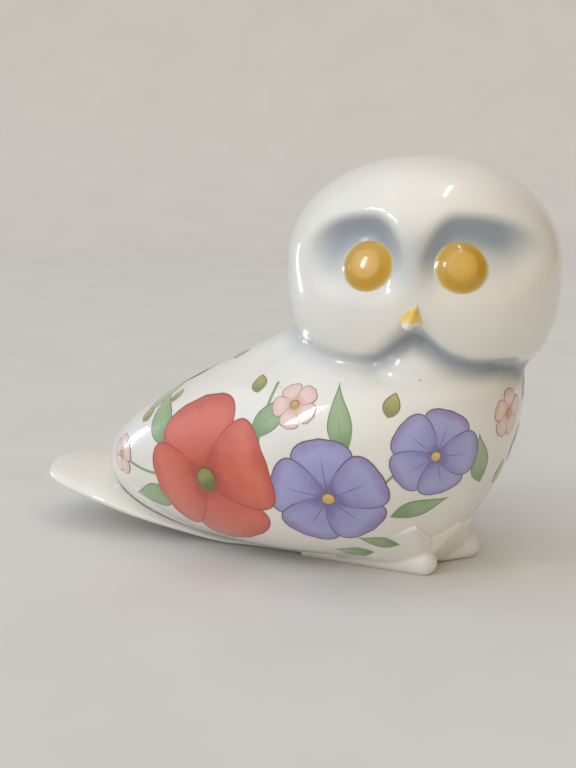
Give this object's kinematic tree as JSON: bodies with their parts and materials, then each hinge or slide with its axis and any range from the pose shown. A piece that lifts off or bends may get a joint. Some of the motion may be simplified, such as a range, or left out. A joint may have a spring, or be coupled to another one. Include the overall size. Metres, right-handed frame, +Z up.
{
  "type": "owl figurine",
  "caption": "Glazed porcelain owl figurine: egg-shaped hollow body with printed flowers, broad head turned to its right, raised yellow eyes and a flat tail that runs under the belly as a sole.",
  "frame": {"origin": "on the table, under the middle of the figurine's bounding box", "axes": "+X towards the breast, -X towards the tail, -Y out of the owl's right flank, +Z up"},
  "size_m": [0.1106, 0.053, 0.0803],
  "materials": {
    "printed_porcelain": "gloss",
    "white_porcelain": "gloss",
    "luting_slip": "gloss",
    "eye_enamel": "gloss",
    "beak_enamel": "gloss"
  },
  "bodies": {
    "root": {"body_shell": "printed_porcelain", "neck_slip": "luting_slip", "head_shell": "white_porcelain", "right_eye": "eye_enamel", "left_eye": "eye_enamel", "beak": "beak_enamel", "tail_sole": "white_porcelain", "right_foot": "white_porcelain", "left_foot": "white_porcelain"}
  },
  "joints": []
}
